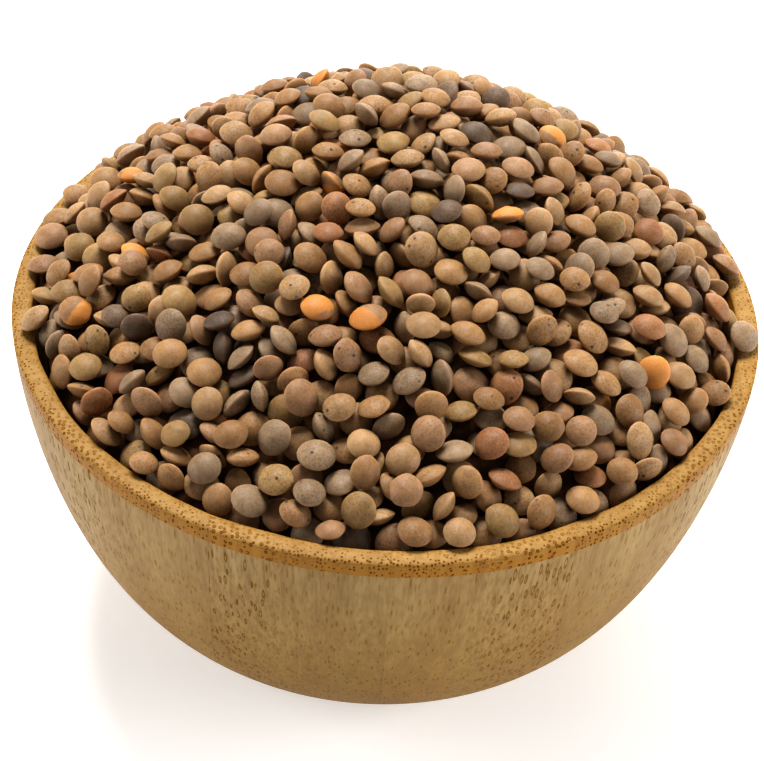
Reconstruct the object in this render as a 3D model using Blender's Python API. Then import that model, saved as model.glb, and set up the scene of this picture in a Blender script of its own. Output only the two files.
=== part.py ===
"""A bowl of dry lentils: a turned bamboo bowl, heaped above its rim with dry brown lentils.

Two pieces: "bowl", and "lentils", which is a core that fills the bowl with the lentils that show
fused onto it. Metres, +Z up. The bowl stands on z = 0 round the Z axis, and its front faces -Y.

The heap is laid by a rule. Lentils of uneven size are dropped one by one where the heap is lowest
below its outline, and each settles to the lowest rest that a few small slides and turns find.
"""

import math

import bmesh
import bpy
import numpy as np
from mathutils import Matrix, Vector

# Bowl: a superellipse of revolution below the widest circle, with a rounded lip above it
RIM_RADIUS = 0.055
RIM_HEIGHT = 0.0517
OUTER_DEPTH = 0.0536
OUTER_POWERS = (1.51, 4.29)
FOOT_RADIUS = 0.0275
FOOT_BEVEL = 0.0006
LIP_INNER_RADIUS = 0.0521
LIP_RISE = 0.0007
LIP_POWER = 0.67
INNER_DEPTH = 0.0473
INNER_POWERS = (1.70, 3.60)
BOWL_SIDES = 56
OUTER_STEPS = 7
LIP_STEPS = 6
INNER_STEPS = 5

# Heap: a dome on an uneven edge, with its top behind and to the right of the bowl's axis
HEAP_RISE = 0.0235
HEAP_TOP = (0.0044, 0.0110)
HEAP_POWER = 2.0
EDGE_INSIDE_RIM = (0.0530, 0.0018)
EDGE_ON_RIM = (0.0545, 0.0026)

# Where lentils lie out over the rim, as (middle, half width, blend): the back, and two strays
BACK = tuple(math.radians(angle) for angle in (92.0, 83.0, 9.0))
RIGHT_STRAY = tuple(math.radians(angle) for angle in (-5.0, 3.0, 2.0))
LEFT_STRAY = tuple(math.radians(angle) for angle in (196.0, 3.0, 2.0))

# Lentils
DIAMETER = 0.00487
DIAMETER_SPREAD = 0.00030
DIAMETER_LIMITS = (0.0041, 0.0055)
FLATNESS = (0.50, 0.62)
GAP = 0.0003
WALL_GAP = 0.0005
SEED = 7

# Laying the heap: a grid of heights, and the slides and turns of one lentil as it settles
CELL = 0.0003
REACH = 0.0042
SPOT = 4
BED_DEPTH = 0.0070
BED_LUMPS = 0.0008
LUMPS_PER_METRE = (1900.0, 1700.0)
BENDS_PER_METRE = (1100.0, 900.0)
BEND = 2.0
NO_ROOM = 1.0
NEED = 0.0013
UNEVEN = 0.0006
LEAST_OPEN = 0.3
PROUD = 0.0008
HOPELESS = 0.0018
DROPS = 3
ROUNDS = 7
MOVES = 14
SLIDE = 0.0006
FARTHEST = 0.0018
STANDING_ROOM = 0.0016
TURN = 0.5
MOST_LENTILS = 2600

# The fused solid
CORE_SIDES = 28
CORE_DOME_STEPS = 5
CORE_RADIUS = 0.0512
CORE_DEPTH = 0.0024
LEDGE_RADII = (0.0500, 0.0534)
LEDGE_HEIGHT = 0.0006
LEDGE_STEPS = 16
FUSED = 275
LENTIL_SIDES = 7
CAP_SIDES = 3
CAP_RADIUS = 0.58
ROOT = 2.8
ROOT_REACH = 0.0502
FACING = 0.6
APART = 0.0043
EDGE_OUT = 1.02


def clear_scene():
    for obj in list(bpy.data.objects):
        bpy.data.objects.remove(obj)


def plain_material(name, color, roughness):
    material = bpy.data.materials.new(name)
    material.use_nodes = True
    shader = material.node_tree.nodes["Principled BSDF"]
    shader.inputs["Base Color"].default_value = (*color, 1.0)
    shader.inputs["Roughness"].default_value = roughness
    shader.inputs["Metallic"].default_value = 0.0
    return material


def add_object(name, mesh_data, material):
    mesh = bpy.data.meshes.new(name)
    mesh_data.to_mesh(mesh)
    mesh_data.free()
    mesh.materials.append(material)
    obj = bpy.data.objects.new(name, mesh)
    bpy.context.scene.collection.objects.link(obj)
    return obj


def skin(rings):
    """A closed surface over rings of points, bottom to top outside, each ring a list or one point."""
    shell = bmesh.new()
    rows = [[shell.verts.new(point) for point in ring] for ring in rings]
    for low, high in zip(rows, rows[1:]):
        count = max(len(low), len(high))
        for i in range(count):
            j = (i + 1) % count
            corners = [low[i % len(low)], low[j % len(low)], high[j % len(high)], high[i % len(high)]]
            shell.faces.new(list(dict.fromkeys(corners)))
    return shell


# Bowl


def superellipse_radius(depth, full_radius, full_depth, powers):
    share = min(depth / full_depth, 1.0)
    return full_radius * (1.0 - share ** powers[0]) ** (1.0 / powers[1])


def inner_wall(gap=0.0):
    """(radius, height) down the inside from below the lip, or down a surface a gap inside that."""
    points = []
    for step in range(1, INNER_STEPS):
        depth = (INNER_DEPTH - gap) * math.sin(step / INNER_STEPS * math.pi / 2)
        radius = superellipse_radius(depth, LIP_INNER_RADIUS - gap, INNER_DEPTH - gap, INNER_POWERS)
        points.append((radius, RIM_HEIGHT - depth))
    return [*points, (0.0, RIM_HEIGHT - INNER_DEPTH + gap)]


def lip_height(radius):
    """Height of the rounded lip over the widest circle, at a radius between its edges."""
    middle = (RIM_RADIUS + LIP_INNER_RADIUS) / 2
    half = (RIM_RADIUS - LIP_INNER_RADIUS) / 2
    across = np.minimum(np.abs(radius - middle) / half, 1.0)
    return LIP_RISE * (1.0 - across ** (2.0 / LIP_POWER)) ** (LIP_POWER / 2.0)


def bowl_profile():
    """(radius, height) from the middle of the base, up the outside, over the lip and down inside."""
    wall_depth = RIM_HEIGHT - FOOT_BEVEL
    points = [(0.0, 0.0), (FOOT_RADIUS, 0.0)]
    for step in range(OUTER_STEPS):
        depth = wall_depth * math.cos(step / OUTER_STEPS * math.pi / 2)
        radius = superellipse_radius(depth, RIM_RADIUS, OUTER_DEPTH, OUTER_POWERS)
        points.append((radius, RIM_HEIGHT - depth))
    middle = (RIM_RADIUS + LIP_INNER_RADIUS) / 2
    half = (RIM_RADIUS - LIP_INNER_RADIUS) / 2
    for step in range(LIP_STEPS + 1):
        across = math.cos(step / LIP_STEPS * math.pi)
        radius = middle + half * math.copysign(abs(across) ** LIP_POWER, across)
        points.append((radius, RIM_HEIGHT + lip_height(radius)))
    return points + inner_wall()


def circle(radius, height, sides):
    if radius == 0.0:
        return [Vector((0.0, 0.0, height))]
    angles = [2 * math.pi * i / sides for i in range(sides)]
    return [Vector((radius * math.cos(a), radius * math.sin(a), height)) for a in angles]


def make_bowl():
    rings = [circle(radius, height, BOWL_SIDES) for radius, height in bowl_profile()]
    bowl = add_object("bowl", skin(rings), plain_material("bamboo", (0.42, 0.27, 0.12), 0.55))
    bowl.data.shade_smooth()
    bowl.data.set_sharp_from_angle(angle=math.radians(35.0))
    return bowl


# Outline of the heap


def on_rim(angle):
    """1 where lentils lie out over the rim, 0 where they stay inside it, and between in between."""
    share = 0.0
    for middle, half, blend in (BACK, RIGHT_STRAY, LEFT_STRAY):
        turn = np.abs((angle - middle + math.pi) % (2 * math.pi) - math.pi)
        share = np.maximum(share, np.clip((half + blend - turn) / (2 * blend), 0.0, 1.0))
    return share * share * (3.0 - 2.0 * share)


def between(angle, inside, over):
    return inside + (over - inside) * on_rim(angle)


def outline_height(x, y):
    """Height of the heap's outline over points in plan, and how far out they lie: 1 at its edge."""
    top_x, top_y = HEAP_TOP
    dx, dy = x - top_x, y - top_y
    share = np.hypot(x, y) / RIM_RADIUS
    for _ in range(3):
        angle = np.arctan2(y - (1 - share) * top_y, x - (1 - share) * top_x)
        edge = between(angle, EDGE_INSIDE_RIM[0], EDGE_ON_RIM[0])
        along = dx * top_x + dy * top_y
        rest = edge**2 - top_x**2 - top_y**2
        share = (along + np.sqrt(along**2 + rest * (dx**2 + dy**2))) / rest
    lift = between(angle, EDGE_INSIDE_RIM[1], EDGE_ON_RIM[1])
    return RIM_HEIGHT + lift + HEAP_RISE * (1.0 - share**HEAP_POWER), share


# Laying the lentils


def bowl_height(radius):
    """Height of the bowl's inside, and of its lip, at distances from the axis."""
    share = np.minimum(radius / LIP_INNER_RADIUS, 1.0)
    depth = INNER_DEPTH * (1.0 - share ** INNER_POWERS[1]) ** (1.0 / INNER_POWERS[0])
    return RIM_HEIGHT + np.where(radius < LIP_INNER_RADIUS, -depth, lip_height(radius))


def farthest_out(angle):
    """How far from the bowl's axis the lentils may reach."""
    return between(angle, EDGE_INSIDE_RIM[0], RIM_RADIUS)


def drawn_in(x, y):
    """The point, moved in from the edge to where a lentil that stands up there has room."""
    most = farthest_out(math.atan2(y, x)) - STANDING_ROOM
    share = min(1.0, most / math.hypot(x, y))
    return share * x, share * y


class Ground:
    """Heights of the bowl and of all that lies in it, over a square grid of cells."""

    def __init__(self):
        self.half = RIM_RADIUS + 2 * REACH
        count = int(round(2 * self.half / CELL / SPOT)) * SPOT
        self.line = np.arange(count) * CELL - self.half
        x, y = np.meshgrid(self.line, self.line, indexing="ij")
        radius = np.hypot(x, y)
        angle = np.arctan2(y, x)
        self.outline, share = outline_height(x, y)
        bend_x = BEND * np.sin(y * BENDS_PER_METRE[0])
        bend_y = BEND * np.sin(x * BENDS_PER_METRE[1])
        lumps = np.sin(x * LUMPS_PER_METRE[0] + bend_x) * np.sin(y * LUMPS_PER_METRE[1] + bend_y)
        bed = self.outline - BED_DEPTH + BED_LUMPS * lumps
        self.height = np.maximum(bed, bowl_height(radius + WALL_GAP) + WALL_GAP)
        self.height[radius > farthest_out(angle)] = NO_ROOM
        self.owner = np.full(self.height.shape, -1)
        self.open = (share < 1.0) & (self.height < NO_ROOM)
        self.refused = np.zeros((count // SPOT, count // SPOT), bool)

    def window(self, x, y):
        """The cells that a lentil dropped at a point can reach, and where they lie."""
        i = int((x + self.half - REACH) / CELL)
        j = int((y + self.half - REACH) / CELL)
        span = int(2 * REACH / CELL) + 1
        cells = (slice(i, i + span), slice(j, j + span))
        grid_x, grid_y = np.meshgrid(self.line[cells[0]], self.line[cells[1]], indexing="ij")
        return cells, grid_x.ravel(), grid_y.ravel()

    def evened(self, values):
        """The mean over each spot and its neighbours."""
        side = self.refused.shape[0]
        edged = np.pad(values.reshape(side, SPOT, side, SPOT).mean(axis=(1, 3)), 1)
        shifts = [(i, j) for i in range(3) for j in range(3)]
        return sum(edged[i : i + side, j : j + side] for i, j in shifts) / len(shifts)

    def need(self):
        """How far the open cells round each spot lie below the outline on average."""
        room = np.where(self.open, np.maximum(self.outline - self.height, 0.0), 0.0)
        share = self.evened(self.open.astype(float))
        even = self.evened(room) / np.maximum(share, LEAST_OPEN)
        return np.where(self.refused, 0.0, even)


def lens_heights(x, y, places, normals, size):
    """Lower and upper surface, about its centre, of each lens over the points; NaN beside it."""
    radius, half_thickness = size
    stretch = 1.0 / half_thickness**2 - 1.0 / radius**2
    nx, ny, nz = (normals[:, i, None] for i in range(3))
    dx = x - places[:, 0, None]
    dy = y - places[:, 1, None]
    across = nx * dx + ny * dy
    upright = 1.0 / radius**2 + stretch * nz**2
    middle = -stretch * nz * across / upright
    beyond = ((dx**2 + dy**2) / radius**2 + stretch * across**2 - 1.0) / upright
    room = middle**2 - beyond
    root = np.sqrt(np.where(room > 0.0, room, np.nan))
    return middle - root, middle + root


def units(vectors):
    return vectors / np.linalg.norm(vectors, axis=1, keepdims=True)


def settle(draw, ground, spot, size):
    """The lowest rest found from a random way up, by rounds of ever smaller slides and turns."""
    cells, x, y = ground.window(*spot)
    heights = ground.height[cells].ravel()
    place, normal, rest = np.array(spot), draw.normal(size=3), NO_ROOM
    for turn in range(ROUNDS):
        ease = 1.0 - turn / ROUNDS
        places = place + draw.normal(size=(MOVES, 2)) * SLIDE * ease
        places = np.clip(places, np.array(spot) - FARTHEST, np.array(spot) + FARTHEST)
        normals = units(normal + draw.normal(size=(MOVES, 3)) * TURN * ease)
        low, _ = lens_heights(x, y, places, normals, size)
        rests = np.nanmax(heights - low, axis=1)
        best = rests.argmin()
        if rests[best] < rest:
            place, normal, rest = places[best], normals[best], rests[best]
    return np.append(place, rest), normal


def drop(draw, ground, spot, size):
    """The least proud of a few settled rests at a spot, as (how proud, centre, normal)."""
    found = []
    for _ in range(DROPS):
        centre, normal = settle(draw, ground, spot, size)
        cells, x, y = ground.window(*spot)
        _, high = lens_heights(x, y, centre[None, :2], normal[None], size)
        proud = np.nanmax(centre[2] + high[0] - ground.outline[cells].ravel())
        found.append((proud, centre, normal))
        if proud < PROUD or proud > HOPELESS:
            break
    return min(found, key=lambda rest: rest[0])


def lay_heap():
    """Each lentil as (centre, normal, radius, half thickness), and how many cells show it."""
    draw = np.random.default_rng(SEED)
    ground = Ground()
    lentils = []
    while len(lentils) < MOST_LENTILS:
        need = ground.need()
        if need.max() < NEED:
            break
        chosen = np.where(need > 0.0, need + UNEVEN * draw.random(need.shape), 0.0).argmax()
        i, j = np.unravel_index(chosen, need.shape)
        spot = drawn_in(*(ground.line[k * SPOT] + draw.random() * SPOT * CELL for k in (i, j)))
        radius = np.clip(draw.normal(DIAMETER, DIAMETER_SPREAD), *DIAMETER_LIMITS) / 2
        size = (radius, radius * draw.uniform(*FLATNESS))
        proud, centre, normal = drop(draw, ground, spot, size)
        if proud > PROUD:
            ground.refused[i, j] = True
            continue
        cells, x, y = ground.window(*spot)
        _, high = lens_heights(x, y, centre[None, :2], normal[None], size)
        top = (centre[2] + high[0]).reshape(ground.height[cells].shape)
        on_top = (top > ground.height[cells]) & (ground.height[cells] < NO_ROOM)
        ground.height[cells][on_top] = top[on_top]
        ground.owner[cells][on_top] = len(lentils)
        lentils.append((centre, normal, *size))
    shown = np.bincount(ground.owner[ground.owner >= 0], minlength=len(lentils))
    return lentils, shown


# Solid of the heap


def make_core(material):
    """The core: the bowl's inside, less a gap, up to a dome a little below the heap's outline."""
    rings = [circle(radius, height, CORE_SIDES) for radius, height in reversed(inner_wall(GAP))]
    edge = circle(CORE_RADIUS, 0.0, CORE_SIDES)
    for step in range(CORE_DOME_STEPS):
        share = math.cos(step / CORE_DOME_STEPS * math.pi / 2)
        rings.append([dome_point(share * p.x, share * p.y, 1.0 - share) for p in edge])
    rings.append([dome_point(0.0, 0.0, 1.0)])
    return add_object("lentils", skin(rings), material)


def dome_point(x, y, toward_top):
    """A point of the core's top, where the axis itself leans over to the top of the heap."""
    x += HEAP_TOP[0] * toward_top
    y += HEAP_TOP[1] * toward_top
    return Vector((x, y, float(outline_height(x, y)[0]) - CORE_DEPTH))


def make_ledge(material):
    """The band over the lip that carries the lentils lying out there, in reach of the core."""
    middle, half, blend = BACK
    first, last = middle - half + blend / 2, middle + half - blend / 2
    low = RIM_HEIGHT + LIP_RISE + GAP
    section = [(LEDGE_RADII[0], low), (LEDGE_RADII[1], low)]
    section += [(LEDGE_RADII[1], low + LEDGE_HEIGHT), (LEDGE_RADII[0], low + 2 * LEDGE_HEIGHT)]
    band = bmesh.new()
    corners = [band.verts.new((r * math.cos(first), r * math.sin(first), z)) for r, z in section]
    start = band.faces.new(corners)
    bmesh.ops.spin(
        band,
        geom=[start, *start.edges, *corners],
        axis=(0.0, 0.0, 1.0),
        cent=(0.0, 0.0, 0.0),
        angle=last - first,
        steps=LEDGE_STEPS,
    )
    bmesh.ops.recalc_face_normals(band, faces=band.faces)
    return add_object("ledge", band, material)


def polygon(sides, radius, height):
    angles = [2 * math.pi * (i + 0.25) / sides for i in range(sides)]
    return [(radius * math.cos(a), radius * math.sin(a), height) for a in angles]


def lentil_mesh(material, rooted):
    """A lentil of radius and half thickness 1: a sharp edge, and a small flat face on either side.
    If rooted, the lower face has a hidden spike that holds it in the core."""
    shell = bmesh.new()
    faces = polygon(CAP_SIDES, CAP_RADIUS, 1.0) + polygon(CAP_SIDES, CAP_RADIUS, -1.0)
    for point in polygon(LENTIL_SIDES, EDGE_OUT, 0.0) + faces:
        shell.verts.new(point)
    bmesh.ops.convex_hull(shell, input=shell.verts)
    if rooted:
        under = min(shell.faces, key=lambda face: face.calc_center_median().z)
        tip = bmesh.ops.poke(shell, faces=[under])["verts"][0]
        tip.co.z = -ROOT
    mesh = bpy.data.meshes.new("lentil")
    shell.to_mesh(mesh)
    shell.free()
    mesh.materials.append(material)
    return mesh


def lentil_object(rooted, unrooted, lentil):
    """The lentil in its place, without a root where that would run into the wall or the lip."""
    centre, normal, radius, half_thickness = lentil
    tip = centre - ROOT * half_thickness * normal
    mesh = rooted if math.hypot(tip[0], tip[1]) < ROOT_REACH else unrooted
    piece = bpy.data.objects.new("lentil", mesh)
    turn = Vector(normal).to_track_quat("Z", "Y").to_matrix().to_4x4()
    size = Matrix.Diagonal((radius, radius, half_thickness, 1.0))
    piece.matrix_world = Matrix.Translation(centre) @ turn @ size
    return piece


def outward(x, y):
    """The heap's outward direction over a point in plan."""
    step = DIAMETER / 2
    fall_x = outline_height(x - step, y)[0] - outline_height(x + step, y)[0]
    fall_y = outline_height(x, y - step)[0] - outline_height(x, y + step)[0]
    return Vector((fall_x, fall_y, 2 * step)).normalized()


def showing(lentils, shown):
    """The highest lentil and those that show most, if they lie flat, each turned to face outward."""
    highest = max(lentils, key=lambda lentil: lentil[0][2])
    found = []
    for lentil, cells in zip(lentils, shown):
        centre, normal, *size = lentil
        out = outward(centre[0], centre[1])
        facing = out.dot(normal)
        if lentil is highest or abs(facing) > FACING:
            seen = math.inf if lentil is highest else cells / out.z
            found.append((seen, (centre, math.copysign(1.0, facing) * normal, *size)))
    found.sort(key=lambda pair: -pair[0])
    kept = []
    for _, lentil in found:
        if len(kept) < FUSED and all(np.linalg.norm(lentil[0] - other[0]) > APART for other in kept):
            kept.append(lentil)
    return kept


def fuse(body, pieces):
    """Joins the pieces onto the body by one union, and removes them."""
    group = bpy.data.collections.new("pieces")
    bpy.context.scene.collection.children.link(group)
    for piece in pieces:
        for other in list(piece.users_collection):
            other.objects.unlink(piece)
        group.objects.link(piece)
    union = body.modifiers.new("union", "BOOLEAN")
    union.operation = "UNION"
    union.solver = "MANIFOLD"
    union.operand_type = "COLLECTION"
    union.collection = group
    bpy.context.view_layer.objects.active = body
    bpy.ops.object.modifier_apply(modifier=union.name)
    for piece in pieces:
        bpy.data.objects.remove(piece)
    bpy.data.collections.remove(group)


def keep_largest_shell(body):
    """Drops loose scraps, and the inner shells of sealed hollows, which fills them."""
    shape = bmesh.new()
    shape.from_mesh(body.data)
    shells = []
    left = set(shape.verts)
    while left:
        shell, edge = set(), [left.pop()]
        while edge:
            point = edge.pop()
            shell.add(point)
            nearby = {line.other_vert(point) for line in point.link_edges} & left
            left -= nearby
            edge.extend(nearby)
        shells.append(shell)
    shells.sort(key=len)
    bmesh.ops.delete(shape, geom=[v for shell in shells[:-1] for v in shell], context="VERTS")
    shape.to_mesh(body.data)
    shape.free()


def make_lentils():
    material = plain_material("dry_lentil", (0.27, 0.16, 0.09), 0.6)
    heap = make_core(material)
    meshes = [lentil_mesh(material, rooted) for rooted in (True, False)]
    pieces = [lentil_object(*meshes, lentil) for lentil in showing(*lay_heap())]
    fuse(heap, [make_ledge(material), *pieces])
    keep_largest_shell(heap)
    return heap


def main():
    clear_scene()
    make_bowl()
    make_lentils()


main()
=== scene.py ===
"""The bowl of dry lentils as seen: bamboo with its strips and bundles, and every loose lentil.

Metres, +Z up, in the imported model's own frame. The bowl and the heap keep the solids' sizes.
"""

import math

import bpy
import numpy as np
from mathutils import Matrix, Vector


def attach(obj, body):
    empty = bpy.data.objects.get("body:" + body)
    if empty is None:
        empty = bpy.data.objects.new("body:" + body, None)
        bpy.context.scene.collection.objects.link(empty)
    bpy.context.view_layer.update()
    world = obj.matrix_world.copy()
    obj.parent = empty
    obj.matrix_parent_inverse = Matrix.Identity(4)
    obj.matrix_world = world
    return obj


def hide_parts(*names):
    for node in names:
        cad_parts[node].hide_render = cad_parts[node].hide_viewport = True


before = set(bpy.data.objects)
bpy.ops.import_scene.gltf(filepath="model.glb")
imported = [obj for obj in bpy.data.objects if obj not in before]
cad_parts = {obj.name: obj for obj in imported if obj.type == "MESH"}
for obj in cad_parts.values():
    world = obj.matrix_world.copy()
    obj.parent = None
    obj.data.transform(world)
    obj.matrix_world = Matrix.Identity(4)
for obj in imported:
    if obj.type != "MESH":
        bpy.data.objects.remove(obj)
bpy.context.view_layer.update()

# Bowl: a superellipse of revolution below the widest circle, with a rounded lip above it
RIM_RADIUS = 0.055
RIM_HEIGHT = 0.0517
OUTER_DEPTH = 0.0536
OUTER_POWERS = (1.51, 4.29)
FOOT_RADIUS = 0.0275
FOOT_BEVEL = 0.0006
LIP_INNER_RADIUS = 0.0521
LIP_RISE = 0.0007
LIP_POWER = 0.67
INNER_DEPTH = 0.0473
INNER_POWERS = (1.70, 3.60)

# Heap: a dome on an uneven edge, with its top behind and to the right of the bowl's axis
HEAP_RISE = 0.0235
HEAP_TOP = (0.0044, 0.0110)
HEAP_POWER = 2.0
EDGE_INSIDE_RIM = (0.0530, 0.0018)
EDGE_ON_RIM = (0.0545, 0.0026)

# Where lentils lie out over the rim, as (middle, half width, blend): the back, and two strays
BACK = tuple(math.radians(angle) for angle in (92.0, 83.0, 9.0))
RIGHT_STRAY = tuple(math.radians(angle) for angle in (-5.0, 3.0, 2.0))
LEFT_STRAY = tuple(math.radians(angle) for angle in (196.0, 3.0, 2.0))

# Lentils
DIAMETER = 0.00487
DIAMETER_SPREAD = 0.00030
DIAMETER_LIMITS = (0.0041, 0.0055)
FLATNESS = (0.50, 0.62)
GAP = 0.0003
WALL_GAP = 0.0005
SEED = 7

# Laying the heap: a grid of heights, and the slides and turns of one lentil as it settles
CELL = 0.0003
REACH = 0.0042
SPOT = 4
BED_DEPTH = 0.0070
BED_LUMPS = 0.0008
LUMPS_PER_METRE = (1900.0, 1700.0)
BENDS_PER_METRE = (1100.0, 900.0)
BEND = 2.0
NO_ROOM = 1.0
NEED = 0.0013
UNEVEN = 0.0006
LEAST_OPEN = 0.3
PROUD = 0.0008
HOPELESS = 0.0018
DROPS = 3
ROUNDS = 7
MOVES = 14
SLIDE = 0.0006
FARTHEST = 0.0018
STANDING_ROOM = 0.0016
TURN = 0.5
MOST_LENTILS = 2600

# Meshes as seen
BOWL_SIDES = 240
OUTER_STEPS = 48
LIP_STEPS = 20
INNER_STEPS = 14
LENTIL_SIDES = 24
LENTIL_RINGS = (0.30, 0.55, 0.75, 0.89, 0.97)
CORE_SIDES = 120
CORE_RINGS = 60
CORE_DEPTH = 0.0062
CORE_RADIUS = 0.0505
CORE_LUMPS = 0.0006
CORE_LUMPS_PER_METRE = (2100.0, 1900.0)

# The lip's uneven inner edge: how deep, and its waves as (number round, size, start)
LIP_WAVE = 0.00035
LIP_WAVES = ((5, 1.0, 1.0), (11, 0.7, 0.0), (19, 0.5, 2.0))
INNER_FADE = 3

# How one lentil differs from an even lens, in shares of its radius or thickness
LENS_POWER = 0.72
POWER_SPREAD = 0.08
OVAL = 0.06
THREE_SIDED = 0.016
BEAK = (-0.06, 0.07)
BEAK_PLACES = (0.5, 5.5)
BEAK_WIDTH = 0.22
SIDE_SPREAD = 0.07
DENT = (-0.6, 0.34)
DENT_REACH = 0.8
DENT_WIDTH = 0.22
WRINKLED = 0.08
WRINKLE_WAVES = (7, 6, 5)
WRINKLE_STARTS = (0, 6)
WRINKLE_DEPTH = 0.07
WRINKLE_EDGE = 0.02
EDGE_START = 0.88
SKIN_LEFT = (-0.3, 0.9)
SKIN_LEFT_BLEND = 0.18
SINK = 0.0003

# Camera, read from the fit of the rim, the wall and the heap
PHOTO_WIDTH = 764
SENSOR = 36.0
FOCAL_PIXELS = 2226.0
CAMERA_DISTANCE = 6.0 * RIM_RADIUS
CAMERA_ELEVATION = math.radians(38.9)
CAMERA_TURN = math.radians(3.94)
CAMERA_AIM = (0.001 * RIM_RADIUS, 0.0, -0.283 * RIM_RADIUS)
CLIP_START = 0.01


def srgb(red, green, blue):
    """Linear colour of a display colour given from 0 to 255."""
    shares = [value / 255.0 for value in (red, green, blue)]
    return tuple(s / 12.92 if s <= 0.04045 else ((s + 0.055) / 1.055) ** 2.4 for s in shares)


# Bamboo: strips glued side by side, and the band of the lip
STRIP_WIDTH = 0.0242
STRIP_JOINT = 0.0029
LIP_BAND = 0.0017
LIP_MIDDLE = (RIM_RADIUS + LIP_INNER_RADIUS) / 2
LIP_WANDER = 0.0006
JOINT_START = 0.494
JOINT_SHARE = 0.15
STRIP_TONES = 0.16
WOOD_GLOSS = 0.12
WOOD_RELIEF = (0.35, 0.0002)
# Marks of the bundles, as (per metre across, per metre up, how dark inside, size)
LIP_FINE = (1900.0, 1500.0, 1.0, 0.29)
LIP_COARSE = (1250.0, 1000.0, 0.5, 0.31)
WALL_FINE = (1500.0, 190.0, 0.9, 0.20)
WALL_COARSE = (1200.0, 215.0, 0.1, 0.28)
BUNDLE_WANDER = 0.12
BREAKS_SCALE = 2.2
# Scales of the noises, per metre across the bowl and up it
PATCHES = (120.0, 120.0, 3.0)
STREAKS = (800.0, 800.0, 26.0)
HAIRS = (2600.0, 2600.0, 300.0)
BROAD_STREAKS = (90.0, 90.0, 9.0)
LIP_UNEVEN = (60.0, 60.0, 60.0)
# How far a value counts, as (times, plus)
HAIR_SHARE = (0.25, 0.30)
DASH_SHARE = (0.40, 0.27)
# Next: how the lip's painted light on top gives way to painted shade down its side
LIGHT_ON_TOP = (1300.0, 0.15)
OUTER_SIDE = (4000.0, 0.5)
LIP_BORDER = (3500.0, 0.5)
WALL_HIGH = srgb(148, 124, 82)
WALL_MIDDLE = srgb(136, 107, 54)
WALL_LOW = srgb(144, 106, 38)
WALL_STREAK = srgb(112, 74, 30)
WALL_FIBRE = srgb(100, 72, 32)
WALL_BUNDLE = srgb(90, 54, 2)
# Lip colours: the top is painted lighter, as light falling on it, and the outer side painted
# darker, as shade over the band's own deeper orange
LIP_TOP_LIT = srgb(148, 116, 65)
LIP_SIDE_SHADED = srgb(142, 99, 28)
LIP_DEEP = srgb(112, 72, 14)
LIP_BUNDLE = srgb(86, 46, 2)

# Under the lentils: painted shade, a lentil brown darkened for the shade deep in the heap
CORE_SHADE_DARK = srgb(40, 26, 16)
CORE_SHADE_LIGHT = srgb(84, 58, 38)
CORE_GRAIN = (420.0, 420.0, 420.0)

# Lentil skins: scales of the noises per metre, and the shares of lentils without spots and of
# the lighter colour along the edge
BLOTCHES = (600.0, 600.0, 600.0)
PALE_PATCHES = (1500.0, 1500.0, 1500.0)
SPECKS = (3300.0, 3300.0, 3300.0)
SPOTS = (560.0, 560.0, 560.0)
UNSPOTTED = 0.70
EDGE_SHARE = 0.45

# Share of the lentils with each kind of skin
KINDS = {
    "tan": 0.315,
    "buff": 0.18,
    "grey": 0.20,
    "rosy": 0.12,
    "olive": 0.09,
    "russet": 0.035,
    "orange": 0.035,
    "dark": 0.025,
}

# The skins' colours: (darker, lighter, fleck)
SKINS = {
    "tan": (srgb(125, 93, 59), srgb(152, 118, 79), srgb(76, 50, 29)),
    "buff": (srgb(136, 107, 73), srgb(164, 132, 94), srgb(86, 60, 37)),
    "grey": (srgb(117, 96, 73), srgb(143, 119, 92), srgb(66, 51, 38)),
    "rosy": (srgb(125, 93, 64), srgb(148, 115, 83), srgb(76, 51, 34)),
    "olive": (srgb(124, 97, 60), srgb(148, 119, 77), srgb(72, 52, 29)),
    "russet": (srgb(124, 84, 54), srgb(147, 105, 70), srgb(78, 48, 29)),
    "orange": (srgb(160, 104, 48), srgb(186, 128, 66), srgb(120, 78, 40)),
    "dark": (srgb(76, 60, 47), srgb(108, 87, 67), srgb(32, 25, 19)),
}
LEFT_SKIN = srgb(128, 100, 72)
SPOT_COLOR = srgb(36, 23, 16)
SKIN_GLOSS = 0.22
SUBSURFACE = 0.40
SUBSURFACE_RADIUS = (1.0, 0.42, 0.18)
SUBSURFACE_SCALE = 0.0015
SKIN_RELIEF = (0.35, 0.0001)

# Stage: the floor, the room, and each light as (place, aimed at, size, power, colour)
FLOOR_RADIUS = 4.0
FLOOR_SIDES = 96
FLOOR_DARKER = (0.86, 0.86, 0.85)
FLOOR_LIGHTER = (0.88, 0.88, 0.87)
FLOOR_GRAIN = (40.0, 40.0, 40.0)
FLOOR_ROUGHNESS = 0.8
FLOOR_GLOW = 0.35
ROOM_LIGHT = 0.25
WARM = (1.0, 0.985, 0.97)
LIGHTS = {
    "key": ((-0.10, 0.32, 0.78), (0.0, 0.0, 0.05), 0.40, 12.6, (1.0, 0.985, 0.96)),
    "back": ((0.10, 0.85, 0.35), (0.0, 0.0, 0.06), 0.6, 4.0, WARM),
    "left": ((-0.80, -0.05, 0.30), (0.0, 0.0, 0.03), 0.5, 3.6, WARM),
    "right": ((0.80, -0.12, 0.30), (0.0, 0.0, 0.03), 0.5, 5.4, WARM),
}


# Shapes shared with the solids


def superellipse_radius(depth, full_radius, full_depth, powers):
    share = min(depth / full_depth, 1.0)
    return full_radius * (1.0 - share ** powers[0]) ** (1.0 / powers[1])


def lip_height(radius):
    """Height of the rounded lip over the widest circle, at a radius between its edges."""
    middle = (RIM_RADIUS + LIP_INNER_RADIUS) / 2
    half = (RIM_RADIUS - LIP_INNER_RADIUS) / 2
    across = np.minimum(np.abs(radius - middle) / half, 1.0)
    return LIP_RISE * (1.0 - across ** (2.0 / LIP_POWER)) ** (LIP_POWER / 2.0)


# Outline of the heap


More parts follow.
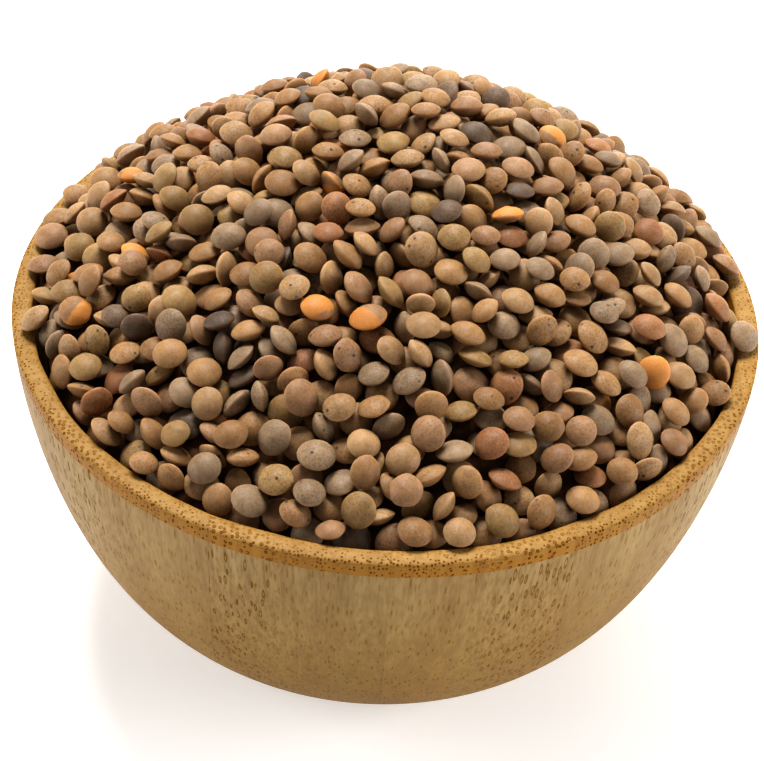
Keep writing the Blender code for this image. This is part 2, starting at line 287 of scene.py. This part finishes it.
def on_rim(angle):
    """1 where lentils lie out over the rim, 0 where they stay inside it, a blend in between."""
    share = 0.0
    for middle, half, blend in (BACK, RIGHT_STRAY, LEFT_STRAY):
        turn = np.abs((angle - middle + math.pi) % (2 * math.pi) - math.pi)
        share = np.maximum(share, np.clip((half + blend - turn) / (2 * blend), 0.0, 1.0))
    return share * share * (3.0 - 2.0 * share)


def between(angle, inside, over):
    return inside + (over - inside) * on_rim(angle)


def outline_height(x, y):
    """Height of the heap's outline over points, and how far out they lie: 1 at its edge."""
    top_x, top_y = HEAP_TOP
    dx, dy = x - top_x, y - top_y
    share = np.hypot(x, y) / RIM_RADIUS
    for _ in range(3):
        angle = np.arctan2(y - (1 - share) * top_y, x - (1 - share) * top_x)
        edge = between(angle, EDGE_INSIDE_RIM[0], EDGE_ON_RIM[0])
        along = dx * top_x + dy * top_y
        rest = edge**2 - top_x**2 - top_y**2
        share = (along + np.sqrt(along**2 + rest * (dx**2 + dy**2))) / rest
    lift = between(angle, EDGE_INSIDE_RIM[1], EDGE_ON_RIM[1])
    return RIM_HEIGHT + lift + HEAP_RISE * (1.0 - share**HEAP_POWER), share


# Laying the lentils


def bowl_height(radius):
    """Height of the bowl's inside, and of its lip, at distances from the axis."""
    share = np.minimum(radius / LIP_INNER_RADIUS, 1.0)
    depth = INNER_DEPTH * (1.0 - share ** INNER_POWERS[1]) ** (1.0 / INNER_POWERS[0])
    return RIM_HEIGHT + np.where(radius < LIP_INNER_RADIUS, -depth, lip_height(radius))


def farthest_out(angle):
    """How far from the bowl's axis the lentils may reach."""
    return between(angle, EDGE_INSIDE_RIM[0], RIM_RADIUS)


def drawn_in(x, y):
    """The point, moved in from the edge to where a lentil that stands up there has room."""
    most = farthest_out(math.atan2(y, x)) - STANDING_ROOM
    share = min(1.0, most / math.hypot(x, y))
    return share * x, share * y


class Ground:
    """Heights of the bowl and of all that lies in it, over a square grid of cells."""

    def __init__(self):
        self.half = RIM_RADIUS + 2 * REACH
        count = int(round(2 * self.half / CELL / SPOT)) * SPOT
        self.line = np.arange(count) * CELL - self.half
        x, y = np.meshgrid(self.line, self.line, indexing="ij")
        radius = np.hypot(x, y)
        angle = np.arctan2(y, x)
        self.outline, share = outline_height(x, y)
        bend_x = BEND * np.sin(y * BENDS_PER_METRE[0])
        bend_y = BEND * np.sin(x * BENDS_PER_METRE[1])
        lumps = np.sin(x * LUMPS_PER_METRE[0] + bend_x) * np.sin(y * LUMPS_PER_METRE[1] + bend_y)
        bed = self.outline - BED_DEPTH + BED_LUMPS * lumps
        self.height = np.maximum(bed, bowl_height(radius + WALL_GAP) + WALL_GAP)
        self.height[radius > farthest_out(angle)] = NO_ROOM
        self.open = (share < 1.0) & (self.height < NO_ROOM)
        self.refused = np.zeros((count // SPOT, count // SPOT), bool)

    def window(self, x, y):
        """The cells that a lentil dropped at a point can reach, and where they lie."""
        i = int((x + self.half - REACH) / CELL)
        j = int((y + self.half - REACH) / CELL)
        span = int(2 * REACH / CELL) + 1
        cells = (slice(i, i + span), slice(j, j + span))
        grid_x, grid_y = np.meshgrid(self.line[cells[0]], self.line[cells[1]], indexing="ij")
        return cells, grid_x.ravel(), grid_y.ravel()

    def evened(self, values):
        """The mean over each spot and its neighbours."""
        side = self.refused.shape[0]
        edged = np.pad(values.reshape(side, SPOT, side, SPOT).mean(axis=(1, 3)), 1)
        shifts = [(i, j) for i in range(3) for j in range(3)]
        return sum(edged[i : i + side, j : j + side] for i, j in shifts) / len(shifts)

    def need(self):
        """How far the open cells round each spot lie below the outline on average."""
        room = np.where(self.open, np.maximum(self.outline - self.height, 0.0), 0.0)
        share = self.evened(self.open.astype(float))
        even = self.evened(room) / np.maximum(share, LEAST_OPEN)
        return np.where(self.refused, 0.0, even)


def lens_heights(x, y, places, normals, size):
    """Lower and upper surface, about its centre, of each lens over the points; NaN beside it."""
    radius, half_thickness = size
    stretch = 1.0 / half_thickness**2 - 1.0 / radius**2
    nx, ny, nz = (normals[:, i, None] for i in range(3))
    dx = x - places[:, 0, None]
    dy = y - places[:, 1, None]
    across = nx * dx + ny * dy
    upright = 1.0 / radius**2 + stretch * nz**2
    middle = -stretch * nz * across / upright
    beyond = ((dx**2 + dy**2) / radius**2 + stretch * across**2 - 1.0) / upright
    room = middle**2 - beyond
    root = np.sqrt(np.where(room > 0.0, room, np.nan))
    return middle - root, middle + root


def units(vectors):
    return vectors / np.linalg.norm(vectors, axis=1, keepdims=True)


def settle(draw, ground, spot, size):
    """The lowest rest found from a random way up, by rounds of ever smaller slides and turns."""
    cells, x, y = ground.window(*spot)
    heights = ground.height[cells].ravel()
    place, normal, rest = np.array(spot), draw.normal(size=3), NO_ROOM
    for turn in range(ROUNDS):
        ease = 1.0 - turn / ROUNDS
        places = place + draw.normal(size=(MOVES, 2)) * SLIDE * ease
        places = np.clip(places, np.array(spot) - FARTHEST, np.array(spot) + FARTHEST)
        normals = units(normal + draw.normal(size=(MOVES, 3)) * TURN * ease)
        low, _ = lens_heights(x, y, places, normals, size)
        rests = np.nanmax(heights - low, axis=1)
        best = rests.argmin()
        if rests[best] < rest:
            place, normal, rest = places[best], normals[best], rests[best]
    return np.append(place, rest), normal


def drop(draw, ground, spot, size):
    """The least proud of a few settled rests at a spot, as (how proud, centre, normal)."""
    found = []
    for _ in range(DROPS):
        centre, normal = settle(draw, ground, spot, size)
        cells, x, y = ground.window(*spot)
        _, high = lens_heights(x, y, centre[None, :2], normal[None], size)
        proud = np.nanmax(centre[2] + high[0] - ground.outline[cells].ravel())
        found.append((proud, centre, normal))
        if proud < PROUD or proud > HOPELESS:
            break
    return min(found, key=lambda rest: rest[0])


def lay_heap():
    """Each lentil as (centre, normal, radius, half thickness), from the first laid to the last."""
    draw = np.random.default_rng(SEED)
    ground = Ground()
    lentils = []
    while len(lentils) < MOST_LENTILS:
        need = ground.need()
        if need.max() < NEED:
            break
        chosen = np.where(need > 0.0, need + UNEVEN * draw.random(need.shape), 0.0).argmax()
        i, j = np.unravel_index(chosen, need.shape)
        spot = drawn_in(*(ground.line[k * SPOT] + draw.random() * SPOT * CELL for k in (i, j)))
        radius = np.clip(draw.normal(DIAMETER, DIAMETER_SPREAD), *DIAMETER_LIMITS) / 2
        size = (radius, radius * draw.uniform(*FLATNESS))
        proud, centre, normal = drop(draw, ground, spot, size)
        if proud > PROUD:
            ground.refused[i, j] = True
            continue
        cells, x, y = ground.window(*spot)
        _, high = lens_heights(x, y, centre[None, :2], normal[None], size)
        top = (centre[2] + high[0]).reshape(ground.height[cells].shape)
        on_top = (top > ground.height[cells]) & (ground.height[cells] < NO_ROOM)
        ground.height[cells][on_top] = top[on_top]
        lentils.append((centre, normal, *size))
    return lentils


# Meshes


def add_mesh(name, points, faces, material):
    mesh = bpy.data.meshes.new(name)
    mesh.vertices.add(len(points))
    mesh.vertices.foreach_set("co", np.asarray(points, np.float32).ravel())
    counts = np.array([len(face) for face in faces])
    mesh.loops.add(int(counts.sum()))
    mesh.loops.foreach_set("vertex_index", np.concatenate([np.asarray(face) for face in faces]))
    mesh.polygons.add(len(faces))
    mesh.polygons.foreach_set("loop_start", np.concatenate([[0], np.cumsum(counts)[:-1]]))
    mesh.update(calc_edges=True)
    mesh.validate()
    mesh.shade_smooth()
    mesh.materials.append(material)
    obj = bpy.data.objects.new(name, mesh)
    bpy.context.scene.collection.objects.link(obj)
    return obj


def turned_faces(rings, sides):
    """Faces over rings of points, from one point below the first to one above the last."""
    faces = [(0, 1 + (i + 1) % sides, 1 + i) for i in range(sides)]
    for ring in range(rings - 1):
        low, high = 1 + ring * sides, 1 + (ring + 1) * sides
        for i in range(sides):
            j = (i + 1) % sides
            faces.append((low + i, low + j, high + j, high + i))
    last = 1 + (rings - 1) * sides
    faces += [(last + i, last + (i + 1) % sides, last + sides) for i in range(sides)]
    return faces


def bowl_profile():
    """(radius, height, share of the lip's wave) up the outside, over the lip and down inside."""
    wall_depth = RIM_HEIGHT - FOOT_BEVEL
    points = [(FOOT_RADIUS, 0.0, 0.0)]
    for step in range(OUTER_STEPS):
        depth = wall_depth * math.cos(step / OUTER_STEPS * math.pi / 2)
        radius = superellipse_radius(depth, RIM_RADIUS, OUTER_DEPTH, OUTER_POWERS)
        points.append((radius, RIM_HEIGHT - depth, 0.0))
    middle = (RIM_RADIUS + LIP_INNER_RADIUS) / 2
    half = (RIM_RADIUS - LIP_INNER_RADIUS) / 2
    for step in range(LIP_STEPS + 1):
        across = math.cos(step / LIP_STEPS * math.pi)
        radius = middle + half * math.copysign(abs(across) ** LIP_POWER, across)
        wave = max(0.0, -across) ** 2
        points.append((radius, RIM_HEIGHT + float(lip_height(radius)), wave))
    for step in range(1, INNER_STEPS):
        share = math.sin(step / INNER_STEPS * math.pi / 2)
        depth = INNER_DEPTH * share
        radius = superellipse_radius(depth, LIP_INNER_RADIUS, INNER_DEPTH, INNER_POWERS)
        points.append((radius, RIM_HEIGHT - depth, (1.0 - share) ** INNER_FADE))
    return points


def make_bowl(material):
    angle = np.arange(BOWL_SIDES) * 2 * math.pi / BOWL_SIDES
    waves = sum(size * np.sin(count * angle + start) for count, size, start in LIP_WAVES)
    wave = LIP_WAVE * waves / sum(size for _, size, _ in LIP_WAVES)
    points = [(0.0, 0.0, 0.0)]
    profile = bowl_profile()
    for radius, height, share in profile:
        reach = radius - share * np.abs(wave)
        points += zip(reach * np.cos(angle), reach * np.sin(angle), np.full(BOWL_SIDES, height))
    points.append((0.0, 0.0, RIM_HEIGHT - INNER_DEPTH))
    return add_mesh("bowl_wood", points, turned_faces(len(profile), BOWL_SIDES), material)


def make_core(material):
    """What is under the loose lentils: a lumpy bed, closed below by the wall's curve, that carries
    the painted shade deep in the heap.
    """
    angle = np.arange(CORE_SIDES) * 2 * math.pi / CORE_SIDES
    cos, sin = np.cos(angle), np.sin(angle)
    room = INNER_DEPTH - GAP
    points = [(0.0, 0.0, RIM_HEIGHT - room)]
    rings = 0
    for step in reversed(range(2, INNER_STEPS)):
        share = math.sin(step / INNER_STEPS * math.pi / 2)
        depth = room * share
        radius = superellipse_radius(depth, LIP_INNER_RADIUS - GAP, room, INNER_POWERS)
        radius = min(radius, CORE_RADIUS)
        points += zip(radius * cos, radius * sin, np.full(CORE_SIDES, RIM_HEIGHT - depth))
        rings += 1
    for step in range(CORE_RINGS):
        share = math.cos(step / CORE_RINGS * math.pi / 2)
        x = share * CORE_RADIUS * cos + (1 - share) * HEAP_TOP[0]
        y = share * CORE_RADIUS * sin + (1 - share) * HEAP_TOP[1]
        lumps = np.sin(x * CORE_LUMPS_PER_METRE[0]) * np.sin(y * CORE_LUMPS_PER_METRE[1])
        points += zip(x, y, outline_height(x, y)[0] - CORE_DEPTH + CORE_LUMPS * lumps)
        rings += 1
    points.append((*HEAP_TOP, float(outline_height(*HEAP_TOP)[0]) - CORE_DEPTH))
    return add_mesh("heap_core", points, turned_faces(rings, CORE_SIDES), material)


# Lentils as seen


def lens_grid():
    """Each point's distance from the axis, its side (1, 0 on the edge, -1) and its angle round."""
    rings = len(LENTIL_RINGS)
    out = np.repeat([*LENTIL_RINGS, 1.0, *reversed(LENTIL_RINGS)], LENTIL_SIDES)
    side = np.repeat(np.repeat([1.0, 0.0, -1.0], [rings, 1, rings]), LENTIL_SIDES)
    turn = np.tile(np.arange(LENTIL_SIDES) * 2 * math.pi / LENTIL_SIDES, 2 * rings + 1)
    out = np.concatenate([[0.0], out, [0.0]])
    side = np.concatenate([[1.0], side, [-1.0]])
    turn = np.concatenate([[0.0], turn, [0.0]])
    return out, side, turn


def lens_points(draw, out, side, turn):
    """One lentil of radius and half thickness 1: a little oval, beaked, lopsided or dented."""
    rise = side * (1.0 - out**2) ** (LENS_POWER + draw.uniform(-POWER_SPREAD, POWER_SPREAD))
    narrow = draw.uniform(0.0, OVAL)
    outline = 1.0 - narrow * (1 + np.cos(2 * (turn - draw.uniform(0, math.pi)))) / 2
    narrow = draw.uniform(0.0, THREE_SIDED)
    outline -= narrow * (1 + np.cos(3 * (turn - draw.uniform(0, math.pi))))
    beak = (turn - draw.uniform(*BEAK_PLACES)) / BEAK_WIDTH
    outline += max(0.0, draw.uniform(*BEAK)) * np.exp(-(beak**2))
    u, v = out * np.cos(turn), out * np.sin(turn)
    rise = rise * (1.0 - np.where(side > 0, *np.abs(draw.normal(0.0, SIDE_SPREAD, 2))))
    dent_u, dent_v = draw.uniform(-DENT_REACH, DENT_REACH, 2)
    depth = max(0.0, draw.uniform(*DENT))
    dent = depth * np.exp(-((u - dent_u) ** 2 + (v - dent_v) ** 2) / DENT_WIDTH)
    rise = np.where(rise > 0, rise * (1.0 - dent), rise)
    if draw.random() < WRINKLED:
        along, across, around = WRINKLE_WAVES
        ripple = np.sin(along * u + draw.uniform(*WRINKLE_STARTS))
        ripple = ripple * np.sin(across * v + draw.uniform(*WRINKLE_STARTS))
        rise = rise * (1.0 - WRINKLE_DEPTH * (1 + ripple))
        wave = 1 + np.sin(around * turn + draw.uniform(*WRINKLE_STARTS))
        outline = outline * (1.0 - WRINKLE_EDGE * wave)
    return np.stack([u * outline, v * outline, rise], axis=1)


def lens_faces():
    """Faces over lens_points, which runs from the upper point down to the lower one."""
    faces = turned_faces(2 * len(LENTIL_RINGS) + 1, LENTIL_SIDES)
    return [tuple(reversed(face)) for face in faces]


def skin_left(draw, points, radius):
    """Where skin is left on a split lentil: past a plane across it, which may also miss it."""
    way = draw.normal(size=3)
    along = points @ (way / np.linalg.norm(way)) / radius
    return np.clip((along - draw.uniform(*SKIN_LEFT)) / SKIN_LEFT_BLEND, 0.0, 1.0)


def make_lentils(lentils, materials):
    """A piece for each kind of skin, with each lentil's tone, marks and edge as a colour layer."""
    draw = np.random.default_rng(SEED + 1)
    out, side, turn = lens_grid()
    edge = np.clip((out - EDGE_START) / (1.0 - EDGE_START), 0.0, 1.0)
    faces = lens_faces()
    names = list(KINDS)
    odds = np.array(list(KINDS.values())) / sum(KINDS.values())
    groups = {name: [] for name in names}
    for centre, normal, radius, half_thickness in lentils:
        name = names[draw.choice(len(names), p=odds)]
        points = lens_points(draw, out, side, turn) * (radius, radius, half_thickness)
        spin = Matrix.Rotation(draw.uniform(0, 2 * math.pi), 3, "Z")
        place = Vector(normal).to_track_quat("Z", "Y").to_matrix() @ spin
        points = points @ np.array(place).T + centre - (0.0, 0.0, SINK)
        skin = np.ones((len(points), 4))
        skin[:, 0] = draw.random()
        skin[:, 1] = draw.random()
        if name == "orange":
            skin[:, 1] = skin_left(draw, points - centre, radius)
        skin[:, 2] = edge
        groups[name].append((points, skin))
    pieces = []
    count = len(out)
    for name, group in groups.items():
        points = np.concatenate([points for points, _ in group])
        skins = np.concatenate([skin for _, skin in group])
        shifted = [tuple(c + k * count for c in face) for k in range(len(group)) for face in faces]
        piece = add_mesh(f"lentils_{name}", points, shifted, materials[name])
        layer = piece.data.color_attributes.new("skin", "FLOAT_COLOR", "POINT")
        layer.data.foreach_set("color", skins.astype(np.float32).ravel())
        pieces.append(piece)
    return pieces


# Materials


class Shading:
    """A material's nodes, added and linked in one call each."""

    def __init__(self, name):
        self.material = bpy.data.materials.new(name)
        self.material.use_nodes = True
        self.tree = self.material.node_tree
        self.shader = self.tree.nodes["Principled BSDF"]

    def put(self, socket, value):
        if isinstance(value, bpy.types.NodeSocket):
            self.tree.links.new(value, socket)
        elif isinstance(value, tuple) and len(value) == 3 and socket.type == "RGBA":
            socket.default_value = (*value, 1.0)
        else:
            socket.default_value = value

    def add(self, kind, output=0, settings=None, **inputs):
        """A new node's output. An input is given by its name, or by _ and its number."""
        node = self.tree.nodes.new(kind)
        for key, value in (settings or {}).items():
            setattr(node, key, value)
        for key, value in inputs.items():
            name = int(key[1:]) if key[0] == "_" and key[1:].isdigit() else key.replace("_", " ")
            self.put(node.inputs[name], value)
        return node.outputs[output]

    def math(self, operation, *values):
        inputs = {f"_{i}": value for i, value in enumerate(values)}
        return self.add("ShaderNodeMath", settings={"operation": operation}, **inputs)

    def mix(self, share, first, second, blend="MIX"):
        node = self.tree.nodes.new("ShaderNodeMix")
        node.data_type = "RGBA"
        node.blend_type = blend
        self.put(node.inputs["Factor"], share)
        self.put(node.inputs["A"], first)
        self.put(node.inputs["B"], second)
        return node.outputs["Result"]

    def ramp(self, share, *stops):
        """A ramp between (position, value) stops."""
        node = self.tree.nodes.new("ShaderNodeValToRGB")
        self.put(node.inputs["Fac"], share)
        elements = node.color_ramp.elements
        while len(elements) < len(stops):
            elements.new(0.5)
        for element, (position, value) in zip(elements, stops):
            color = value if isinstance(value, tuple) else (value, value, value)
            element.position = position
            element.color = (*color, 1.0)
        return node.outputs["Color"]

    def scaled(self, x, y, z):
        """Places on the object, stretched along each axis."""
        place = self.add("ShaderNodeTexCoord", output="Object")
        return self.add("ShaderNodeMapping", Vector=place, Scale=(x, y, z))

    def noise(self, vector, detail=3.0, roughness=0.5):
        inputs = {"Vector": vector, "Scale": 1.0, "Detail": detail, "Roughness": roughness}
        return self.add("ShaderNodeTexNoise", **inputs)

    def bump(self, height, strength, distance):
        normal = self.add("ShaderNodeBump", Strength=strength, Distance=distance, Height=height)
        self.put(self.shader.inputs["Normal"], normal)


def bundles(look, per_metre, along, hollow, size):
    """Dark marks where bamboo's bundles end: dots and broken rings on the lip, dashes below."""
    place = look.scaled(per_metre, per_metre, along)
    wobble = look.add("ShaderNodeTexNoise", output="Color", Vector=place, Scale=0.6, Detail=2.0)
    place = look.mix(BUNDLE_WANDER, place, wobble, "LINEAR_LIGHT")
    distance = look.add("ShaderNodeTexVoronoi", Vector=place, Scale=1.0, Randomness=0.6)
    ring = ((size * 0.55, hollow), (size * 0.8, 1.0), (size, 1.0), (size + 0.07, 0.0))
    closer = per_metre * BREAKS_SCALE
    breaks = look.noise(look.scaled(closer, closer, along * 2.0), detail=1.0)
    whole = look.ramp(breaks, (0.32, 0.0), (0.42, 1.0))
    return look.math("MULTIPLY", look.ramp(distance, *ring), whole)


def bamboo():
    look = Shading("bamboo")
    place = look.add("ShaderNodeTexCoord", output="Object")
    split = look.tree.nodes.new("ShaderNodeSeparateXYZ")
    look.put(split.inputs[0], place)
    x, y, z = split.outputs
    # Strips glued side by side: a tone of its own for each, and a fine dark joint
    across = look.math("DIVIDE", look.math("SUBTRACT", x, STRIP_JOINT), STRIP_WIDTH)
    strip = look.math("FLOOR", across)
    inside = look.math("FRACT", across)
    tone = look.add("ShaderNodeTexWhiteNoise", settings={"noise_dimensions": "1D"}, W=strip)
    off_middle = look.math("ABSOLUTE", look.math("SUBTRACT", inside, 0.5))
    joint = look.math("GREATER_THAN", off_middle, JOINT_START)
    # Bundles: small and close on one side of a strip, large and sparse on the other
    patch = look.noise(look.scaled(*PATCHES), detail=1.0)
    outer = look.math("FRACT", look.math("ABSOLUTE", across))
    side = look.math("MULTIPLY_ADD", outer, 0.6, look.math("MULTIPLY", patch, 0.5))
    coarser = look.ramp(side, (0.48, 0.0), (0.66, 1.0))
    dots = look.mix(coarser, bundles(look, *LIP_FINE), bundles(look, *LIP_COARSE))
    dashes = look.mix(coarser, bundles(look, *WALL_FINE), bundles(look, *WALL_COARSE))
    # Fibres: long faint streaks up the wall
    streaks = look.noise(look.scaled(*STREAKS), detail=5.0, roughness=0.65)
    hairs = look.noise(look.scaled(*HAIRS), roughness=0.6)
    broad = look.noise(look.scaled(*BROAD_STREAKS))
    # Wall
    height = look.math("DIVIDE", z, RIM_HEIGHT)
    wall = look.ramp(height, (0.05, WALL_LOW), (0.45, WALL_MIDDLE), (0.95, WALL_HIGH))
    wall = look.mix(look.ramp(broad, (0.40, 0.0), (0.70, 0.5)), wall, WALL_STREAK)
    wall = look.mix(look.ramp(streaks, (0.35, 0.38), (0.60, 0.0)), wall, WALL_FIBRE)
    thin = look.ramp(hairs, (0.38, 1.0), (0.55, 0.0))
    thin = look.math("MULTIPLY", thin, look.math("MULTIPLY_ADD", coarser, *HAIR_SHARE))
    wall = look.mix(thin, wall, WALL_FIBRE)
    seen = look.math("MULTIPLY", dashes, look.math("MULTIPLY_ADD", coarser, *DASH_SHARE))
    wall = look.mix(seen, wall, WALL_BUNDLE)
    # Lip: the same wood, sanded and oiled golden, with its top painted lighter as lit and its
    # outer side painted darker as shade
    lit_top_share = look.math("MULTIPLY_ADD", look.math("SUBTRACT", z, RIM_HEIGHT), *LIGHT_ON_TOP)
    lip = look.mix(look.ramp(lit_top_share, (0.0, 0.0), (1.0, 1.0)), LIP_SIDE_SHADED, LIP_TOP_LIT)
    lip = look.mix(look.ramp(streaks, (0.35, 0.5), (0.65, 0.0)), lip, LIP_DEEP)
    square = look.math("ADD", look.math("POWER", x, 2.0), look.math("POWER", y, 2.0))
    outside = look.math("MULTIPLY_ADD", look.math("SUBTRACT", square, LIP_MIDDLE**2), *OUTER_SIDE)
    shown = look.ramp(outside, (0.0, 0.30), (1.0, 0.96))
    lip = look.mix(look.math("MULTIPLY", dots, shown), lip, LIP_BUNDLE)
    uneven = look.noise(look.scaled(*LIP_UNEVEN))
    uneven = look.math("MULTIPLY_ADD", uneven, LIP_WANDER, -LIP_WANDER / 2)
    above = look.math("ADD", look.math("SUBTRACT", z, RIM_HEIGHT - LIP_BAND), uneven)
    on_lip = look.ramp(look.math("MULTIPLY_ADD", above, *LIP_BORDER), (0.2, 0.0), (0.8, 1.0))
    color = look.mix(on_lip, wall, lip)
    color = look.mix(look.math("MULTIPLY", joint, JOINT_SHARE), color, WALL_BUNDLE)
    value = look.math("MULTIPLY_ADD", tone, STRIP_TONES, 1.0 - STRIP_TONES / 2)
    color = look.add("ShaderNodeHueSaturation", Color=color, Value=value)
    look.put(look.shader.inputs["Base Color"], color)
    # The marks are dull as well as dark
    pits = look.math("MULTIPLY", dots, on_lip)
    marked = look.math("MAXIMUM", pits, look.math("SUBTRACT", dashes, on_lip))
    gloss = look.ramp(marked, (0.0, WOOD_GLOSS), (0.8, 0.0))
    look.put(look.shader.inputs["Specular IOR Level"], gloss)
    rough = look.math("MULTIPLY_ADD", on_lip, -0.04, 0.52)
    look.put(look.shader.inputs["Roughness"], look.math("MULTIPLY_ADD", streaks, 0.12, rough))
    relief = look.math("MULTIPLY_ADD", pits, -0.7, look.math("MULTIPLY", streaks, 0.35))
    look.bump(relief, *WOOD_RELIEF)
    return look.material


def lentil_skin(name):
    """Dry matt seed skin: a tone for each lentil, fine flecks, soft blotches and a paler edge."""
    darker, lighter, fleck = SKINS[name]
    look = Shading(f"skin_{name}")
    own = look.tree.nodes.new("ShaderNodeSeparateColor")
    layer = look.add("ShaderNodeAttribute", "Color", {"attribute_name": "skin"})
    look.put(own.inputs[0], layer)
    tone, marks, edge = own.outputs
    color = look.mix(tone, darker, lighter)
    blotch = look.noise(look.scaled(*BLOTCHES), roughness=0.6)
    if name == "orange":
        # Split skins: the orange seed shows, with a ragged patch of the skin left on it
        ragged = look.math("ADD", marks, look.math("MULTIPLY_ADD", blotch, 0.8, -0.4))
        color = look.mix(look.ramp(ragged, (0.45, 0.0), (0.55, 1.0)), color, LEFT_SKIN)
    else:
        color = look.mix(look.ramp(blotch, (0.40, 0.0), (0.66, 0.30)), color, fleck)
    pale = look.noise(look.scaled(*PALE_PATCHES))
    color = look.mix(look.ramp(pale, (0.5, 0.0), (0.75, 0.35)), color, lighter)
    specks = look.noise(look.scaled(*SPECKS), roughness=0.75)
    strength = look.math("MULTIPLY_ADD", marks, 0.5, 0.30)
    share = look.math("MULTIPLY", look.ramp(specks, (0.46, 0.0), (0.62, 0.75)), strength)
    color = look.mix(share, color, fleck)
    if name != "orange":
        spots = look.add("ShaderNodeTexVoronoi", Vector=look.scaled(*SPOTS), Scale=1.0)
        few = look.math("GREATER_THAN", marks, UNSPOTTED)
        dark = look.math("MULTIPLY", look.ramp(spots, (0.10, 0.85), (0.17, 0.0)), few)
        color = look.mix(dark, color, SPOT_COLOR)
    color = look.mix(look.math("MULTIPLY", edge, EDGE_SHARE), color, lighter)
    look.put(look.shader.inputs["Base Color"], color)
    look.put(look.shader.inputs["Roughness"], look.math("MULTIPLY_ADD", specks, 0.2, 0.45))
    look.shader.inputs["Specular IOR Level"].default_value = SKIN_GLOSS
    look.shader.inputs["Subsurface Weight"].default_value = SUBSURFACE
    look.shader.inputs["Subsurface Radius"].default_value = SUBSURFACE_RADIUS
    look.shader.inputs["Subsurface Scale"].default_value = SUBSURFACE_SCALE
    relief = look.math("ADD", look.math("MULTIPLY", specks, 0.4), look.math("MULTIPLY", pale, 0.6))
    look.bump(relief, *SKIN_RELIEF)
    return look.material


def painted_core_shade():
    look = Shading("heap_core")
    # Painted shade: a dark lumpy brown for the shade between the buried lentils
    lumps = look.noise(look.scaled(*CORE_GRAIN), detail=4.0)
    color = look.ramp(lumps, (0.35, CORE_SHADE_DARK), (0.65, CORE_SHADE_LIGHT))
    look.put(look.shader.inputs["Base Color"], color)
    look.put(look.shader.inputs["Roughness"], look.math("MULTIPLY_ADD", lumps, 0.1, 0.88))
    look.shader.inputs["Specular IOR Level"].default_value = 0.0
    return look.material


# Stage


def make_camera():
    """The photograph's camera: aimed below the middle of the rim, and turned about its view."""
    origin = Vector((0.0, 0.0, RIM_HEIGHT))
    back, up = math.cos(CAMERA_ELEVATION), math.sin(CAMERA_ELEVATION)
    place = CAMERA_DISTANCE * Vector((0.0, -back, up))
    ahead = (Vector(CAMERA_AIM) - place).normalized()
    level = ahead.cross(Vector((0.0, 0.0, 1.0))).normalized()
    upward = level.cross(ahead)
    cos, sin = math.cos(CAMERA_TURN), math.sin(CAMERA_TURN)
    right = cos * level + sin * upward
    top = -sin * level + cos * upward
    data = bpy.data.cameras.new("camera")
    data.sensor_width = SENSOR
    data.lens = FOCAL_PIXELS * SENSOR / PHOTO_WIDTH
    data.clip_start = CLIP_START
    camera = bpy.data.objects.new("camera", data)
    turned = Matrix((right, top, -ahead)).transposed().to_4x4()
    camera.matrix_world = Matrix.Translation(place + origin) @ turned
    bpy.context.scene.collection.objects.link(camera)
    bpy.context.scene.camera = camera


def add_light(name, place, aim, size, power, color):
    """A round soft light at a place, aimed at a point."""
    data = bpy.data.lights.new(name, "AREA")
    data.shape = "DISK"
    data.size = size
    data.energy = power
    data.color = color
    light = bpy.data.objects.new(name, data)
    light.location = place
    light.rotation_euler = (Vector(aim) - Vector(place)).to_track_quat("-Z", "Y").to_euler()
    bpy.context.scene.collection.objects.link(light)


def make_floor():
    look = Shading("floor")
    grain = look.noise(look.scaled(*FLOOR_GRAIN), detail=2.0)
    color = look.ramp(grain, (0.3, FLOOR_DARKER), (0.7, FLOOR_LIGHTER))
    look.put(look.shader.inputs["Base Color"], color)
    look.shader.inputs["Roughness"].default_value = FLOOR_ROUGHNESS
    look.shader.inputs["Emission Color"].default_value = (1.0, 1.0, 1.0, 1.0)
    look.shader.inputs["Emission Strength"].default_value = FLOOR_GLOW
    angle = np.arange(FLOOR_SIDES) * 2 * math.pi / FLOOR_SIDES
    points = [(FLOOR_RADIUS * math.cos(a), FLOOR_RADIUS * math.sin(a), 0.0) for a in angle]
    floor = add_mesh("floor", points, [tuple(range(FLOOR_SIDES))], look.material)


def make_light():
    """A soft key from above, dimmer lights from behind and the sides, and a dim white room."""
    world = bpy.data.worlds.new("studio")
    world.use_nodes = True
    room = world.node_tree.nodes["Background"]
    room.inputs["Color"].default_value = (1.0, 1.0, 1.0, 1.0)
    room.inputs["Strength"].default_value = ROOM_LIGHT
    bpy.context.scene.world = world
    for name, values in LIGHTS.items():
        add_light(name, *values)
    bpy.context.scene.view_settings.view_transform = "Standard"
    bpy.context.scene.view_settings.look = "Medium High Contrast"


make_camera()
bowl = make_bowl(bamboo())
heap = lay_heap()
core = make_core(painted_core_shade())
loose = make_lentils(heap, {name: lentil_skin(name) for name in KINDS})
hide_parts("bowl")
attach(bowl, "root")
for piece in [core, *loose]:
    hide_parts("lentils")
    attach(piece, "root")
make_floor()
make_light()
